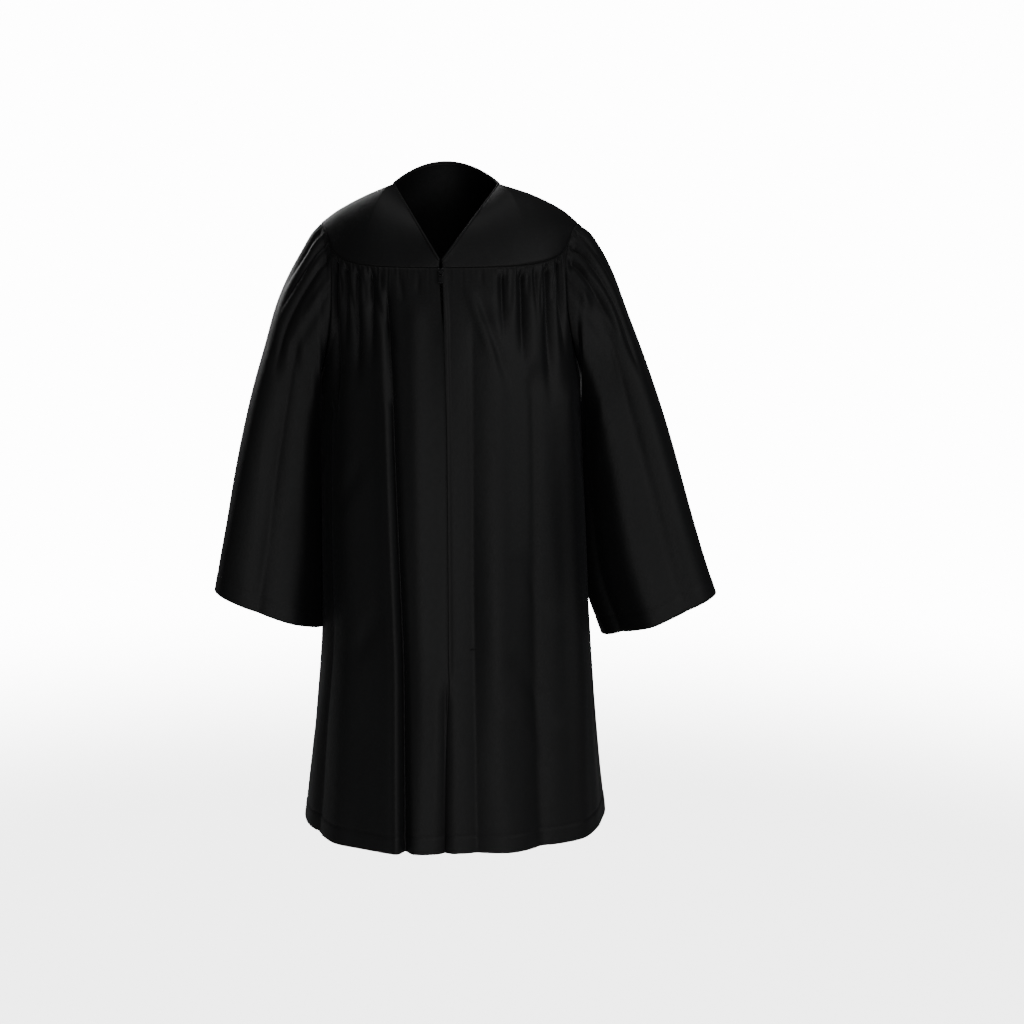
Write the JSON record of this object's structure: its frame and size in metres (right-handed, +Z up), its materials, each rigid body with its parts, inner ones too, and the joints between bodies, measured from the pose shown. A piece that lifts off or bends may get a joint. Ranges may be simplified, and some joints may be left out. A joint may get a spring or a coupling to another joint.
{
  "type": "graduation gown",
  "caption": "Child's black graduation gown, filled out as worn with no wearer, with a smooth yoke, gathered front, back and sleeves, a V neck and a concealed front zip.",
  "frame": {"origin": "midway between the two sides of the neck, where the yoke rests on the wearer's shoulders", "axes": "+Z up along the gown, -Y towards the front with the zip, +X towards the wearer's left"},
  "size_m": [0.5776, 0.2393, 0.7666],
  "materials": {
    "gown_cloth": "matt woven polyester with a faint sheen on the folds",
    "zip_tape": "matt woven tape with a nylon coil",
    "zip_metal": "dark plated, semi-gloss"
  },
  "bodies": {
    "gown": {"front_left": "gown_cloth", "front_right": "gown_cloth", "back": "gown_cloth", "yoke_front_left": "gown_cloth", "yoke_front_right": "gown_cloth", "yoke_back": "gown_cloth", "sleeve_left": "gown_cloth", "sleeve_right": "gown_cloth", "neck_binding": "gown_cloth", "zip_tape_left": "zip_tape", "zip_tape_right": "zip_tape", "zip_chain": "zip_tape", "zip_slider": "zip_metal"},
    "pull_tab": {"zip_pull_tab": "zip_metal"}
  },
  "joints": [
    {"name": "pull_tab_hinge", "type": "hinge", "parent": "gown", "child": "pull_tab", "pos_m": [-0.0053, -0.08384, -0.09069], "axis": [-1, 0, 0], "range_deg": [0, 150]}
  ]
}
